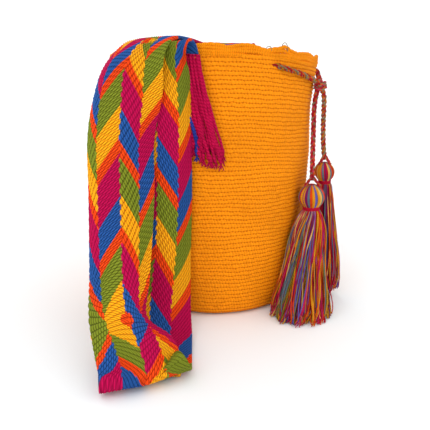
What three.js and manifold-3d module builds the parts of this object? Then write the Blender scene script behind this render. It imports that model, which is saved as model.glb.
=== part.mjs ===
// A wayuu mochila: a crocheted bucket bag that stands on its round base, with a patterned shoulder strap
// draped over its front, and a braided drawstring that ends in two yarn tassels.
import * as THREE from "three";
import { mergeVertices } from "three/addons/utils/BufferGeometryUtils.js";
import Module from "manifold-3d";

// Driving dimensions, in millimetres. +Z is up, -Y is the front and +X is the bag's right side.
// The origin is the centre of the base, on the surface that the bag stands on.
// An azimuth is measured round the bag, from the front towards +X.
const WALL = 4;
const BASE_THICKNESS = 4;
const RIM_HEIGHT = 270;
const RIM_FRONT_RISE = 8;
const RIM_SIDE_DROP = 9;
const RIM_RIGHT_DROP = 2;
const SCALLOPS = 17;
const SCALLOP_HEIGHT = 3;
const SCALLOP_START = -4;
const EDGING_DEPTH = 9;
const EDGING_FLARE = 1.2;
const STRAP_THICKNESS = 3.6;
const CORD_RADIUS = 3;
const CORD_BELOW_RIM = 15;
const EYELET_SLACK = 0.5;
const EYELETS = [33, -62, -90, -130, -160, -254];
const KNOT = new THREE.Vector3(110.5, -28, 233);
const KNOT_RADII = new THREE.Vector3(6, 6, 6.5);
const THREAD_RADIUS = 0.8;
const BINDING_RADIUS = 1.3;
const STRAP_FRONT_AZIMUTH = -17.5;
const STRAP_BACK_AZIMUTH = 162.5;
const STRAP_END_BELOW_RIM = 16;
const FRINGE_THICKNESS = 5;
const FRINGE_GAP = 0.5;
const SEAM_OFFSET = 7.5;
const GAP = 0.4;

// The wall's outside: half of its width and half of its depth at each height.
const WALL_PROFILE = [
  { z: 0, width: 82, depth: 80 },
  { z: 3, width: 89, depth: 87 },
  { z: 8, width: 92.5, depth: 90.5 },
  { z: 18, width: 95, depth: 92.5 },
  { z: 60, width: 97.5, depth: 93.5 },
  { z: 110, width: 100, depth: 93 },
  { z: 160, width: 104, depth: 91 },
  { z: 210, width: 104.5, depth: 89.5 },
  { z: 240, width: 108, depth: 88.5 },
  { z: 262, width: 110, depth: 88 },
  { z: 290, width: 110.5, depth: 88 },
];

// The strap's route from its front end to its back end. Each station has the place of the band's
// middle, the yaw of its width, half of its width, and the tilt of each of its four quarters.
const STRAP_STATIONS = [
  [-33, -87, 261, -15, 20, -7, -3, 2, 6],
  [-33.8, -88, 268.5, -15, 19.5, -6, -3, 2, 6],
  [-35.5, -89.6, 275.5, -14, 19.5, -4, -2, 2, 4],
  [-39, -93.7, 279.8, -12, 19.5, 0, 0, 0, 0],
  [-43, -99.3, 277.5, -10, 22, 6, 3, -3, -10],
  [-48, -104, 266, -8, 28, 14, 7, -4, -22],
  [-53, -108.5, 244, -4, 36, 26, 12, -5, -38],
  [-56, -111.5, 213, 0, 41, 38, 15, -5, -48],
  [-57, -113, 175, 0, 41, 40, 15, -5, -50],
  [-58, -113.5, 132, 0, 41, 40, 15, -5, -50],
  [-59.5, -114, 92, 0, 41, 36, 14, -5, -48],
  [-61.5, -117, 58, 3, 41, 26, 10, -4, -36],
  [-62.5, -128, 29, 8, 41, 12, 5, -2, -18],
  [-62, -149, 11, 13, 41, 4, 2, 0, -4],
  [-61, -176, 5, 17, 40.5, 0, 0, 0, 0],
  [-59.5, -205, 4.4, 20, 40, 0, 0, 0, 2],
  [-58, -229, 6, 22, 39.5, -6, -4, 4, 12],
  [-57, -242, 13.5, 23, 39, -18, -12, 8, 26],
  [-57.5, -236, 23.5, 23, 39, -14, -8, 8, 22],
  [-60.5, -219, 36, 22, 39.5, -12, -2, 8, 14],
  [-68.5, -194, 55, 18, 40.5, -24, -2, 14, 16],
  [-79, -171, 81, 10, 41, -42, -2, 26, 28],
  [-85, -156, 113, 4, 41, -58, -2, 34, 38],
  [-87.5, -147, 152, 0, 41, -64, -2, 36, 40],
  [-88, -141, 194, 0, 41, -64, -2, 34, 38],
  [-87, -131, 229, -6, 40, -60, -4, 30, 36],
  [-82, -113, 255, -14, 36, -50, -8, 20, 24],
  [-75, -89, 270.5, -22, 33, -32, -8, 0, 0],
  [-67, -64, 278.5, -27, 32, -18, -8, -7, -5],
  [-55, -36, 278, -30, 33, -7, -4, -3, 0],
  [-38, -4, 273.5, -30, 34, -4, -2, 2, 4],
  [-18, 32, 269.5, -27, 33, -4, -2, 2, 4],
  [5, 64, 268.5, -23, 28, -2, 0, 0, 2],
  [22, 82, 268, -19, 23, -4, -1, 1, 4],
  [30, 90.3, 262.5, -15, 20, -7, -3, 3, 8],
  [32.6, 88.2, 254, -15, 20, -8, -3, 3, 9],
  [33.4, 87, 245, -15, 20, -8, -3, 3, 9],
];

// The two tassels: the middle and the two half-widths of each cross-section, from the top down.
const TASSEL_FRONT = [
  [103, -49.8, 135.6, 3.4, 3.4],
  [103, -49.8, 132, 8.6, 8.6],
  [103, -50, 127, 12, 12],
  [103, -50, 121, 13.2, 13.2],
  [103, -50.2, 115, 11.6, 11.6],
  [103, -50.6, 110.5, 8.6, 8.2],
  [103, -51, 107.5, 8.2, 7.8],
  [102.8, -53, 101, 12.4, 10.6],
  [101, -58, 88, 17.4, 12.6],
  [98.4, -64, 70, 20, 14.5],
  [95.6, -72, 48, 23, 17.5],
  [93, -83, 22, 28.5, 23],
  [92, -89, 8, 31, 26],
  [92, -91, 0.4, 31.5, 27],
];
const TASSEL_REAR = [
  [118, -29.6, 154.4, 3.2, 3.2],
  [118, -29.6, 152, 6.8, 6.8],
  [118.2, -29.7, 147.5, 9.6, 9.6],
  [118.4, -29.8, 143, 10.2, 10.2],
  [118.6, -29.9, 138, 9, 9],
  [118.8, -30, 133.6, 6.2, 6.2],
  [119, -30, 131, 5.8, 5.8],
  [119.2, -30, 126, 8.4, 8],
  [120, -30, 112, 10, 10],
  [121.6, -30, 84, 11.6, 11],
  [124.4, -30, 50, 13.4, 12],
  [126.4, -30, 24, 13.6, 12.6],
  [127, -30, 8, 13, 12],
];

// The drawstring's two free tails, from the knot down to the tassels.
const TAIL_FRONT = [
  [108.5, -29, 232],
  [105, -30.5, 222],
  [104.6, -34, 195],
  [104, -40, 165],
  [103.2, -47, 143],
  [103, -49.4, 137.3],
];
const TAIL_REAR = [
  [112, -28, 231],
  [114, -28, 220],
  [115, -28, 195],
  [116.5, -29, 172],
  [118, -29.6, 155.3],
];

const wasm = await Module();
wasm.setup();

const COLOURS = {
  orange: 0xf28c08,
  strap: 0xa5124a,
  magenta: 0x990536,
  cord: 0xb8443c,
  tasselYarn: 0xc05a3c,
  thread: 0xd7861a,
};

function fabric(colour) {
  return new THREE.MeshStandardMaterial({ color: colour, roughness: 0.95, metalness: 0 });
}

function radians(degrees) {
  return THREE.MathUtils.degToRad(degrees);
}

// The value between four neighbours, on a curve that passes through the middle two.
function blend(a, b, c, d, t) {
  const slopeB = (c - a) / 2;
  const slopeC = (d - b) / 2;
  const cubic = 2 * b - 2 * c + slopeB + slopeC;
  const square = -3 * b + 3 * c - 2 * slopeB - slopeC;
  return ((cubic * t + square) * t + slopeB) * t + b;
}

// Row number "at" of a table, where "at" may lie between two rows.
function rowAt(table, at) {
  const last = table.length - 1;
  const i = Math.min(Math.floor(at), last - 1);
  const rows = [Math.max(i - 1, 0), i, i + 1, Math.min(i + 2, last)].map((k) => table[k]);
  return rows[1].map((_, k) => blend(rows[0][k], rows[1][k], rows[2][k], rows[3][k], at - i));
}

function wallAt(z) {
  let i = 0;
  while (i < WALL_PROFILE.length - 2 && WALL_PROFILE[i + 1].z < z) i += 1;
  const low = WALL_PROFILE[i];
  const high = WALL_PROFILE[i + 1];
  const t = THREE.MathUtils.clamp((z - low.z) / (high.z - low.z), 0, 1);
  return {
    width: THREE.MathUtils.lerp(low.width, high.width, t),
    depth: THREE.MathUtils.lerp(low.depth, high.depth, t),
  };
}

function rimHeight(azimuth) {
  const front = Math.cos(radians(azimuth));
  const side = Math.sin(radians(azimuth));
  const right = Math.max(0, side);
  return RIM_HEIGHT + RIM_FRONT_RISE * front - RIM_SIDE_DROP * side ** 2 - RIM_RIGHT_DROP * right ** 2;
}

function scallop(azimuth) {
  const phase = radians((SCALLOPS / 2) * (azimuth - SCALLOP_START));
  return SCALLOP_HEIGHT * (Math.abs(Math.cos(phase)) - 0.5);
}

// A point at an azimuth and a height, "offset" outside the wall's outer face.
function bagPoint(azimuth, z, offset) {
  const { width, depth } = wallAt(z);
  const side = Math.sin(radians(azimuth));
  const front = Math.cos(radians(azimuth));
  const out = new THREE.Vector2(side / width, -front / depth).normalize();
  return new THREE.Vector3(width * side + offset * out.x, -depth * front + offset * out.y, z);
}

// Leaves only the positions, with shared vertices merged and the faces pointing out.
function closed(geometry) {
  const bare = new THREE.BufferGeometry();
  bare.setAttribute("position", geometry.getAttribute("position"));
  if (geometry.index) bare.setIndex(geometry.index);
  const merged = mergeVertices(bare, 1e-4);
  const p = merged.getAttribute("position");
  const index = merged.index.array;
  const [a, b, c] = [new THREE.Vector3(), new THREE.Vector3(), new THREE.Vector3()];
  let volume = 0;
  for (let i = 0; i < index.length; i += 3) {
    a.fromBufferAttribute(p, index[i]);
    b.fromBufferAttribute(p, index[i + 1]);
    c.fromBufferAttribute(p, index[i + 2]);
    volume += a.dot(b.cross(c)) / 6;
  }
  if (volume < 0) {
    for (let i = 0; i < index.length; i += 3) {
      [index[i], index[i + 1]] = [index[i + 1], index[i]];
    }
  }
  merged.computeVertexNormals();
  return merged;
}

// A closed skin through rings of equally many points, with a flat fan over its first and last rings.
function loft(rings) {
  const n = rings[0].length;
  const points = rings.flat();
  const faces = [];
  for (let r = 0; r < rings.length - 1; r += 1) {
    for (let k = 0; k < n; k += 1) {
      const next = (k + 1) % n;
      const [a, b, c, d] = [r * n + k, r * n + next, (r + 1) * n + k, (r + 1) * n + next];
      faces.push(a, b, d, a, d, c);
    }
  }
  for (const ring of [0, rings.length - 1]) {
    const middle = new THREE.Vector3();
    rings[ring].forEach((point) => middle.addScaledVector(point, 1 / n));
    const centre = points.push(middle) - 1;
    for (let k = 0; k < n; k += 1) {
      const pair = [ring * n + k, ring * n + ((k + 1) % n)];
      if (ring === 0) pair.reverse();
      faces.push(centre, ...pair);
    }
  }
  const geometry = new THREE.BufferGeometry().setFromPoints(points);
  geometry.setIndex(faces);
  return closed(geometry);
}

function disc(radius, sides) {
  const corners = [];
  for (let k = 0; k < sides; k += 1) {
    const angle = (2 * Math.PI * k) / sides;
    corners.push(new THREE.Vector2(radius * Math.cos(angle), radius * Math.sin(angle)));
  }
  return new THREE.Shape(corners);
}

function tube(points, radius, steps, sides) {
  const path = new THREE.CatmullRomCurve3(points, false, "centripetal");
  const settings = { steps, bevelEnabled: false, extrudePath: path };
  return closed(new THREE.ExtrudeGeometry(disc(radius, sides), settings));
}

function solid(geometry) {
  return new wasm.Manifold(
    new wasm.Mesh({
      numProp: 3,
      vertProperties: new Float32Array(geometry.getAttribute("position").array),
      triVerts: new Uint32Array(geometry.index.array),
    }),
  );
}

function geometryOf(manifold) {
  const mesh = manifold.getMesh();
  const geometry = new THREE.BufferGeometry();
  geometry.setAttribute("position", new THREE.BufferAttribute(mesh.vertProperties, 3));
  geometry.setIndex(new THREE.BufferAttribute(mesh.triVerts, 1));
  return closed(geometry);
}

// The bag's wall and base in one piece: up the outside, over the scalloped rim and down the inside.
function bagShell() {
  const sides = SCALLOPS * 4;
  const outside = [0, 3, 8, 18, 60, 110, 160, 210, 238].map((z) => ({ z, offset: 0 }));
  const rim = [
    { below: EDGING_DEPTH, offset: 0 },
    { below: EDGING_DEPTH / 2, offset: EDGING_FLARE },
    { below: 0, offset: EDGING_FLARE / 2 },
    { below: 0, offset: 1 - WALL },
    { below: EDGING_DEPTH, offset: -WALL },
  ];
  const inside = [210, 160, 110, 60, 18].map((z) => ({ z, offset: -WALL }));
  const floor = [
    { z: BASE_THICKNESS + 4, offset: -WALL - 1 },
    { z: BASE_THICKNESS, offset: -WALL - 5 },
  ];
  return loft(
    [...outside, ...rim, ...inside, ...floor].map(({ z, below, offset }) => {
      const ring = [];
      for (let k = 0; k < sides; k += 1) {
        const azimuth = SCALLOP_START + (360 * k) / sides;
        const lift = below === 0 ? scallop(azimuth) : 0;
        const height = z ?? rimHeight(azimuth) - below + lift;
        ring.push(bagPoint(azimuth, height, offset));
      }
      return ring;
    }),
  );
}

// The drawstring's stretch through the eyelets: outside the wall after the 2nd and the 4th eyelet.
function threadedRoute() {
  const inside = -WALL - CORD_RADIUS - 1.2;
  const outside = CORD_RADIUS + 1;
  const reach = 6;
  const points = [];
  const along = (azimuth, offset) => {
    points.push(bagPoint(azimuth, rimHeight(azimuth) - CORD_BELOW_RIM, offset));
  };
  EYELETS.forEach((azimuth, i) => {
    const [before, after] = i % 2 === 0 ? [outside, inside] : [inside, outside];
    along(azimuth + reach, before);
    along(azimuth, -WALL / 2);
    along(azimuth - reach, after);
    if (i === EYELETS.length - 1) return;
    const stretch = azimuth - EYELETS[i + 1] - 2 * reach;
    const pieces = Math.max(1, Math.round(stretch / 14));
    for (let k = 1; k < pieces; k += 1) along(azimuth - reach - (stretch * k) / pieces, after);
  });
  points.unshift(bagPoint(60, 243, outside), bagPoint(50, 249, outside));
  points.unshift(new THREE.Vector3(KNOT.x - 1, KNOT.y - 3, KNOT.z));
  points.push(bagPoint(92, 238, outside), new THREE.Vector3(KNOT.x, KNOT.y + 3, KNOT.z));
  return points;
}

function vectors(rows) {
  return rows.map(([x, y, z]) => new THREE.Vector3(x, y, z));
}

function drawstring() {
  const knot = new THREE.SphereGeometry(1, 14, 10).rotateX(Math.PI / 2);
  knot.scale(KNOT_RADII.x, KNOT_RADII.y, KNOT_RADII.z).translate(KNOT.x, KNOT.y, KNOT.z);
  return geometryOf(
    solid(tube(threadedRoute(), CORD_RADIUS, 80, 8))
      .add(solid(closed(knot)))
      .add(solid(tube(vectors(TAIL_FRONT), CORD_RADIUS, 10, 8)))
      .add(solid(tube(vectors(TAIL_REAR), CORD_RADIUS, 8, 8))),
  );
}

function bagBody() {
  const cutter = solid(tube(threadedRoute().slice(3, -2), CORD_RADIUS + EYELET_SLACK, 80, 8));
  return geometryOf(solid(bagShell()).subtract(cutter));
}

// One cross-section of the strap: across its outer face and back across its inner face.
function strapRing(at) {
  const middle = new THREE.Vector3(...rowAt(STRAP_STATIONS, at));
  const row = rowAt(STRAP_STATIONS, at);
  const step = 0.05;
  const last = STRAP_STATIONS.length - 1;
  const ahead = new THREE.Vector3(...rowAt(STRAP_STATIONS, Math.min(at + step, last)));
  const behind = new THREE.Vector3(...rowAt(STRAP_STATIONS, Math.max(at - step, 0)));
  const along = ahead.sub(behind).normalize();
  const across = new THREE.Vector3(Math.cos(radians(row[3])), Math.sin(radians(row[3])), 0);
  across.addScaledVector(along, -across.dot(along)).normalize();
  const up = new THREE.Vector3().crossVectors(along, across);
  const pieces = 8;
  const tilts = row.slice(5);
  const tilt = (u) => radians(rowAt([tilts[0], ...tilts, tilts[3]].map((v) => [v]), u * 4 + 0.5)[0]);
  const spots = [{ x: 0, h: 0, u: 0 }];
  for (let k = 1; k <= pieces; k += 1) {
    const angle = tilt((k - 0.5) / pieces);
    const from = spots[k - 1];
    const width = (2 * row[4]) / pieces;
    spots.push({ x: from.x + width * Math.cos(angle), h: from.h + width * Math.sin(angle), u: k / pieces });
  }
  const centre = spots[pieces / 2];
  const face = (side) => ({ x, h, u }) => {
    const angle = tilt(u);
    const point = middle.clone().addScaledVector(across, x - centre.x).addScaledVector(up, h - centre.h);
    const half = (side * STRAP_THICKNESS) / 2;
    return point.addScaledVector(up, half * Math.cos(angle)).addScaledVector(across, -half * Math.sin(angle));
  };
  return [...spots.map(face(1)), ...spots.map(face(-1)).reverse()];
}

function shoulderStrap() {
  const perSpan = 2;
  const rings = [];
  const count = (STRAP_STATIONS.length - 1) * perSpan;
  for (let k = 0; k <= count; k += 1) rings.push(strapRing(k / perSpan));
  return loft(rings);
}

// A strap end's loose yarns, which hang against the wall and lean as they fall.
function fringe(azimuth, lean, top, length, halfAngle) {
  const rings = [];
  const levels = 7;
  const columns = 5;
  for (let r = 0; r <= levels; r += 1) {
    const t = r / levels;
    const thickness = FRINGE_THICKNESS * (0.6 + 0.4 * Math.sin(Math.PI * Math.min(1, t + 0.2)));
    const spot = (k, offset) => {
      const from = azimuth + lean * t - halfAngle;
      return bagPoint(from + (2 * halfAngle * k) / columns, top - length * t, offset);
    };
    const ring = [];
    for (let k = 0; k <= columns; k += 1) ring.push(spot(k, FRINGE_GAP + thickness));
    for (let k = columns; k >= 0; k -= 1) ring.push(spot(k, FRINGE_GAP));
    rings.push(ring);
  }
  return loft(rings);
}

// The sewing thread that fastens a strap end: a zigzag across the end's outer face.
function seam(azimuth, z) {
  const points = [];
  const stitches = 9;
  const halfAngle = 9;
  for (let k = 0; k <= stitches; k += 1) {
    const spot = azimuth + halfAngle * ((2 * k) / stitches - 1);
    points.push(bagPoint(spot, z + (k % 2 ? 2.5 : -2.5), SEAM_OFFSET));
  }
  return tube(points, THREAD_RADIUS, 45, 6);
}

function tassel(rows) {
  const sides = 18;
  return loft(
    rows.map(([x, y, z, halfWidth, halfDepth]) => {
      const ring = [];
      for (let k = 0; k < sides; k += 1) {
        const angle = (2 * Math.PI * k) / sides;
        ring.push(new THREE.Vector3(x + halfWidth * Math.cos(angle), y + halfDepth * Math.sin(angle), z));
      }
      return ring;
    }),
  );
}

// The yarn wound round a tassel's neck, just clear of it.
function binding([x, y, z, radius]) {
  const ring = new THREE.TorusGeometry(radius + BINDING_RADIUS + GAP, BINDING_RADIUS, 8, 22);
  return closed(ring.translate(x, y, z));
}

const mochila = new THREE.Group();

function add(name, geometry, colour) {
  const mesh = new THREE.Mesh(geometry, fabric(colour));
  mesh.name = name;
  mochila.add(mesh);
}

const FRONT_END = rimHeight(STRAP_FRONT_AZIMUTH) - STRAP_END_BELOW_RIM;
const BACK_END = rimHeight(STRAP_BACK_AZIMUTH) - STRAP_END_BELOW_RIM;
const NECK = 6;

add("bag_body", bagBody(), COLOURS.orange);
add("shoulder_strap", shoulderStrap(), COLOURS.strap);
add("strap_fringe_front", fringe(STRAP_FRONT_AZIMUTH, 13, FRONT_END - 3, 99, 9), COLOURS.magenta);
add("strap_fringe_back", fringe(STRAP_BACK_AZIMUTH, 0, BACK_END - 3, 105, 10), COLOURS.magenta);
add("strap_seam_front", seam(STRAP_FRONT_AZIMUTH, FRONT_END + 4.5), COLOURS.thread);
add("strap_seam_back", seam(STRAP_BACK_AZIMUTH, BACK_END + 4.5), COLOURS.thread);
add("drawstring", drawstring(), COLOURS.cord);
add("tassel_front", tassel(TASSEL_FRONT), COLOURS.tasselYarn);
add("tassel_rear", tassel(TASSEL_REAR), COLOURS.tasselYarn);
add("tassel_front_binding", binding(TASSEL_FRONT[NECK]), COLOURS.magenta);
add("tassel_rear_binding", binding(TASSEL_REAR[NECK]), COLOURS.magenta);

export default mochila;
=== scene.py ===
"""A wayuu mochila: a crocheted bucket bag with a patterned shoulder strap draped over its front, and a
braided drawstring with two yarn tassels. Lengths are in millimetres unless a comment says otherwise, and MM
turns them into metres. A height is measured up from the floor, and an azimuth from the bag's front."""

import math

import bmesh
import bpy
import numpy as np
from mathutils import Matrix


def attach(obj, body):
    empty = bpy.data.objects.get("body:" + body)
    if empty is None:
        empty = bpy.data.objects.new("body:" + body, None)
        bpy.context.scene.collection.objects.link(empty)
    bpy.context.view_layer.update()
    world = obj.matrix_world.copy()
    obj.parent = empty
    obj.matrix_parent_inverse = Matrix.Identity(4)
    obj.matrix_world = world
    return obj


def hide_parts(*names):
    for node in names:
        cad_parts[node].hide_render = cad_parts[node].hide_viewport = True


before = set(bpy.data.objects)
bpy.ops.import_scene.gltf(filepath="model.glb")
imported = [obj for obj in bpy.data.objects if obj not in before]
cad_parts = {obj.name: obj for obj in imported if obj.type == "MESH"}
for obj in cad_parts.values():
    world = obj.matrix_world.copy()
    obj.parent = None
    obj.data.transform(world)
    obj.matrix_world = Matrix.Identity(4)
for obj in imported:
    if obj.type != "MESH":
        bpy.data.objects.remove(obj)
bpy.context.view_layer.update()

MM = 0.001
TURN = 2 * math.pi
rng = np.random.default_rng(7)

# ---------------------------------------------------------------- camera

# The camera's place in metres, its pitch in degrees and its lens for a sensor 36 mm wide.
CAMERA_PLACE = (0.001, -0.8, 0.32)
CAMERA_PITCH = 73.6
CAMERA_LENS = 61.53
SENSOR_WIDTH = 36


def add_object(name, data):
    item = bpy.data.objects.new(name, data)
    bpy.context.scene.collection.objects.link(item)
    return item


def add_camera():
    data = bpy.data.cameras.new("camera")
    data.lens = CAMERA_LENS
    data.sensor_width = SENSOR_WIDTH
    camera = add_object("camera", data)
    camera.location = CAMERA_PLACE
    camera.rotation_euler = (math.radians(CAMERA_PITCH), 0, 0)
    bpy.context.scene.camera = camera


add_camera()

# ---------------------------------------------------------------- sizes shared with the CAD model

WALL = 4
WALL_RADIUS = 100
RIM_HEIGHT = 270
EDGING_DEPTH = 9
CORD_RADIUS = 3
CORD_BELOW_RIM = 15
# The eyelets' azimuths in degrees, in the order in which the drawstring passes through them.
EYELETS = [33, -62, -90, -130, -160, -254]
KNOT = np.array([110.5, -28, 233])

# The wall's outside: height, half of its width and half of its depth.
WALL_PROFILE = np.array([
    [0, 82, 80], [3, 89, 87], [8, 92.5, 90.5], [18, 95, 92.5], [60, 97.5, 93.5], [110, 100, 93],
    [160, 104, 91], [210, 104.5, 89.5], [240, 108, 88.5], [262, 110, 88], [290, 110.5, 88],
])

# The strap's stations: the middle of the band, the yaw of its width, half of its width, four tilts.
STRAP_STATIONS = np.array([
    [-33, -87, 261, -15, 20, -7, -3, 2, 6], [-33.8, -88, 268.5, -15, 19.5, -6, -3, 2, 6],
    [-35.5, -89.6, 275.5, -14, 19.5, -4, -2, 2, 4], [-39, -93.7, 279.8, -12, 19.5, 0, 0, 0, 0],
    [-44, -99.3, 277.5, -10, 22, 8, 3, -4, -22], [-49.5, -104, 266, -8, 28, 16, 7, -6, -42],
    [-52.5, -108.5, 244, -4, 36, 28, 12, -8, -55], [-53, -111.5, 213, 0, 40, 38, 15, -8, -58],
    [-53.6, -113, 175, 0, 40, 40, 15, -8, -57], [-54.6, -113.5, 132, 0, 40, 40, 15, -8, -54],
    [-56.5, -114, 92, 0, 40, 36, 14, -8, -50], [-60, -117, 58, 3, 41, 26, 10, -4, -38],
    [-62.5, -128, 29, 8, 41, 12, 5, -2, -18], [-62, -149, 11, 13, 41, 4, 2, 0, -4],
    [-61, -176, 5, 17, 40.5, 0, 0, 0, 0], [-59.5, -207, 4.4, 22, 40, 0, 0, 0, 2],
    [-58, -234, 5, 26, 40, -3, -3, 8, 22], [-57, -247, 11.5, 27, 40, -10, -10, 18, 38],
    [-58.5, -240, 22.5, 26, 39.5, -14, -8, 14, 30], [-67, -221, 36, 22, 38.5, -30, -4, 14, 24],
    [-79, -197, 56, 16, 37.5, -50, -6, 42, 64], [-83.5, -174, 82, 8, 38.5, -60, -4, 42, 56],
    [-85, -160, 113, 3, 39.5, -60, -2, 42, 52], [-85.5, -151, 152, 0, 40.5, -60, -2, 42, 50],
    [-85.5, -145, 194, 0, 40.5, -60, -2, 42, 50], [-83.5, -136, 229, -6, 40, -58, -4, 38, 46],
    [-81.5, -121, 256, -14, 36, -50, -8, 20, 22], [-75, -104, 271.5, -22, 32.5, -34, -8, 0, 0],
    [-63.5, -78, 281.8, -27, 29.5, -18, -8, -5, -3], [-51.5, -47, 281, -30, 30.5, -8, -4, -3, 0],
    [-37, -8, 276, -30, 33, -4, -2, 2, 4], [-18, 32, 270, -27, 33, -4, -2, 2, 4],
    [5, 64, 268.5, -23, 28, -2, 0, 0, 2], [22, 82, 268, -19, 23, -4, -1, 1, 4],
    [30, 90.3, 262.5, -15, 20, -7, -3, 3, 8], [32.6, 88.2, 254, -15, 20, -8, -3, 3, 9],
    [33.4, 87, 245, -15, 20, -8, -3, 3, 9],
])
STRAP_HALF_THICKNESS = 1.8

# The tassels: the middle and the two half-widths of each cross-section. Row 6 is the bound neck.
TASSEL_FRONT = np.array([
    [103, -49.8, 135.6, 3.4, 3.4], [103, -49.8, 132, 8.6, 8.6], [103, -50, 127, 12, 12],
    [103, -50, 121, 13.2, 13.2], [103, -50.2, 115, 11.6, 11.6], [103, -50.6, 110.5, 8.6, 8.2],
    [103, -51, 107.5, 8.2, 7.8], [102.8, -53, 101, 12.4, 10.6], [101, -58, 88, 17.4, 12.6],
    [98.4, -64, 70, 20, 14.5], [95.6, -72, 48, 23, 17.5], [93, -83, 22, 28.5, 23],
    [92, -89, 8, 31, 26], [92, -91, 0.4, 31.5, 27],
])
TASSEL_REAR = np.array([
    [118, -29.6, 154.4, 3.2, 3.2], [118, -29.6, 152, 6.8, 6.8], [118.2, -29.7, 147.5, 9.6, 9.6],
    [118.4, -29.8, 143, 10.2, 10.2], [118.6, -29.9, 138, 9, 9], [118.8, -30, 133.6, 6.2, 6.2],
    [119, -30, 131, 5.8, 5.8], [119.2, -30, 126, 8.4, 8], [120, -30, 112, 10, 10],
    [121.6, -30, 84, 11.6, 11], [124.4, -30, 50, 13.4, 12], [126.4, -30, 24, 13.6, 12.6],
    [127, -30, 8, 13, 12],
])
TASSEL_NECK = 6


def rim_height(azimuth):
    """The rim stands highest in front and sinks at the sides, more so at the right."""
    side = np.sin(azimuth)
    return RIM_HEIGHT + 8 * np.cos(azimuth) - 9 * side**2 - 2 * np.maximum(0, side) ** 2


def scallop(azimuth):
    """The rim's 17 shallow scallops."""
    return 3 * (np.abs(np.cos(8.5 * (azimuth + math.radians(4)))) - 0.5)


def bag_point(azimuth, height, offset):
    """A point at an azimuth in radians and a height, "offset" outside the wall's outer face."""
    azimuth, height, offset = np.broadcast_arrays(azimuth, height, offset)
    width = np.interp(height, WALL_PROFILE[:, 0], WALL_PROFILE[:, 1])
    depth = np.interp(height, WALL_PROFILE[:, 0], WALL_PROFILE[:, 2])
    side, front = np.sin(azimuth), np.cos(azimuth)
    out = np.stack([side / width, -front / depth], -1)
    out /= np.linalg.norm(out, axis=-1, keepdims=True)
    x = width * side + offset * out[..., 0]
    y = -depth * front + offset * out[..., 1]
    return np.stack([x, y, height], -1)


def curve_between(a, b, c, d, t):
    """The place a share "t" of the way from b to c, on a smooth curve through a, b, c and d."""
    slope_b, slope_c = (c - a) / 2, (d - b) / 2
    cubic = 2 * b - 2 * c + slope_b + slope_c
    square = -3 * b + 3 * c - 2 * slope_b - slope_c
    return ((cubic * t + square) * t + slope_b) * t + b


def row_at(table, at):
    """Row number "at" of a table, on a smooth curve through its rows."""
    at = np.asarray(at, float)
    last = len(table) - 1
    i = np.clip(np.floor(at).astype(int), 0, last - 1)
    t = (at - i)[..., None]
    return curve_between(*(table[np.clip(i + k, 0, last)] for k in (-1, 0, 1, 2)), t)


def angles(count):
    return np.arange(count) * TURN / count


def unit(v):
    return v / np.linalg.norm(v, axis=-1, keepdims=True)


def smooth_path(points, step):
    """Evenly spaced points, "step" apart, on a smooth curve through the given points."""
    points = np.asarray(points, float)
    fine = row_at(points, np.linspace(0, len(points) - 1, 40 * len(points)))
    run = run_along(fine)
    even = np.linspace(0, run[-1], max(4, round(run[-1] / step) + 1))
    return np.stack([np.interp(even, run, fine[:, k]) for k in range(3)], -1)


def run_along(path):
    """How far along a path each of its points lies."""
    return np.concatenate([[0], np.cumsum(np.linalg.norm(np.diff(path, axis=0), axis=1))])


def length_of(path):
    return float(run_along(path)[-1])


# ---------------------------------------------------------------- meshes


class Shape:
    """The points, faces, texture places and material numbers of one piece."""

    def __init__(self):
        self.points = []
        self.faces = []
        self.maps = []
        self.looks = []
        self.count = 0

    def grid(self, points, wrap, place, look=0):
        """Rows and columns of points. place(row, column) gives the texture place of face corners."""
        rows, columns = points.shape[:2]
        r, c = np.meshgrid(np.arange(rows - 1), np.arange(columns - (not wrap)), indexing="ij")
        row = np.stack([r, r, r + 1, r + 1], -1).reshape(-1, 4)
        column = np.stack([c, c + 1, c + 1, c], -1).reshape(-1, 4)
        self.faces += (self.count + row * columns + column % columns).tolist()
        self.maps.append(np.stack(place(row, column), -1).reshape(-1, 2).astype(float))
        self.looks.append(np.broadcast_to(look, r.size))
        self.points.append(points.reshape(-1, 3))
        self.count += rows * columns

    def cap(self, corners, look=0):
        """One face over points of the piece, which are counted from its first one."""
        self.faces.append([int(k) for k in corners])
        self.maps.append(np.zeros((len(corners), 2)))
        self.looks.append(np.array([look]))

    def tube(self, rings, place, look=0):
        """A closed tube through rings of points."""
        first = self.count
        rows, sides = rings.shape[:2]
        self.grid(rings, True, place, look)
        self.cap(first + np.arange(sides)[::-1], look)
        self.cap(first + (rows - 1) * sides + np.arange(sides), look)

    def make(self, name, materials, slot, *nodes):
        """The finished piece, with its materials, in place of the named nodes of the CAD model. Its slot
        argument is not used.
        """
        mesh = bpy.data.meshes.new(name)
        mesh.from_pydata((np.concatenate(self.points) * MM).tolist(), [], self.faces)
        for material in materials:
            mesh.materials.append(material)
        mesh.polygons.foreach_set("material_index", np.concatenate(self.looks).astype(np.int32))
        layer = mesh.uv_layers.new(name="thread")
        layer.data.foreach_set("uv", np.concatenate(self.maps).astype(np.float32).ravel())
        mesh.shade_smooth()
        work = bmesh.new()
        work.from_mesh(mesh)
        if work.calc_volume(signed=True) < 0:
            mesh.flip_normals()
        work.free()
        piece = add_object(name, mesh)
        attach(piece, "root")
        if nodes:
            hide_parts(*nodes)
        return piece


def carried_frame(paths, start):
    """Two directions square to each of many paths, carried along it without a twist."""
    tangent = unit(np.gradient(paths, axis=1))
    normal = np.zeros_like(paths)
    normal[:, 0] = unit(np.cross(tangent[:, 0], start))
    for k in range(1, paths.shape[1]):
        before = normal[:, k - 1]
        normal[:, k] = unit(before - tangent[:, k] * (before * tangent[:, k]).sum(-1, keepdims=True))
    return normal, np.cross(tangent, normal)


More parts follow.
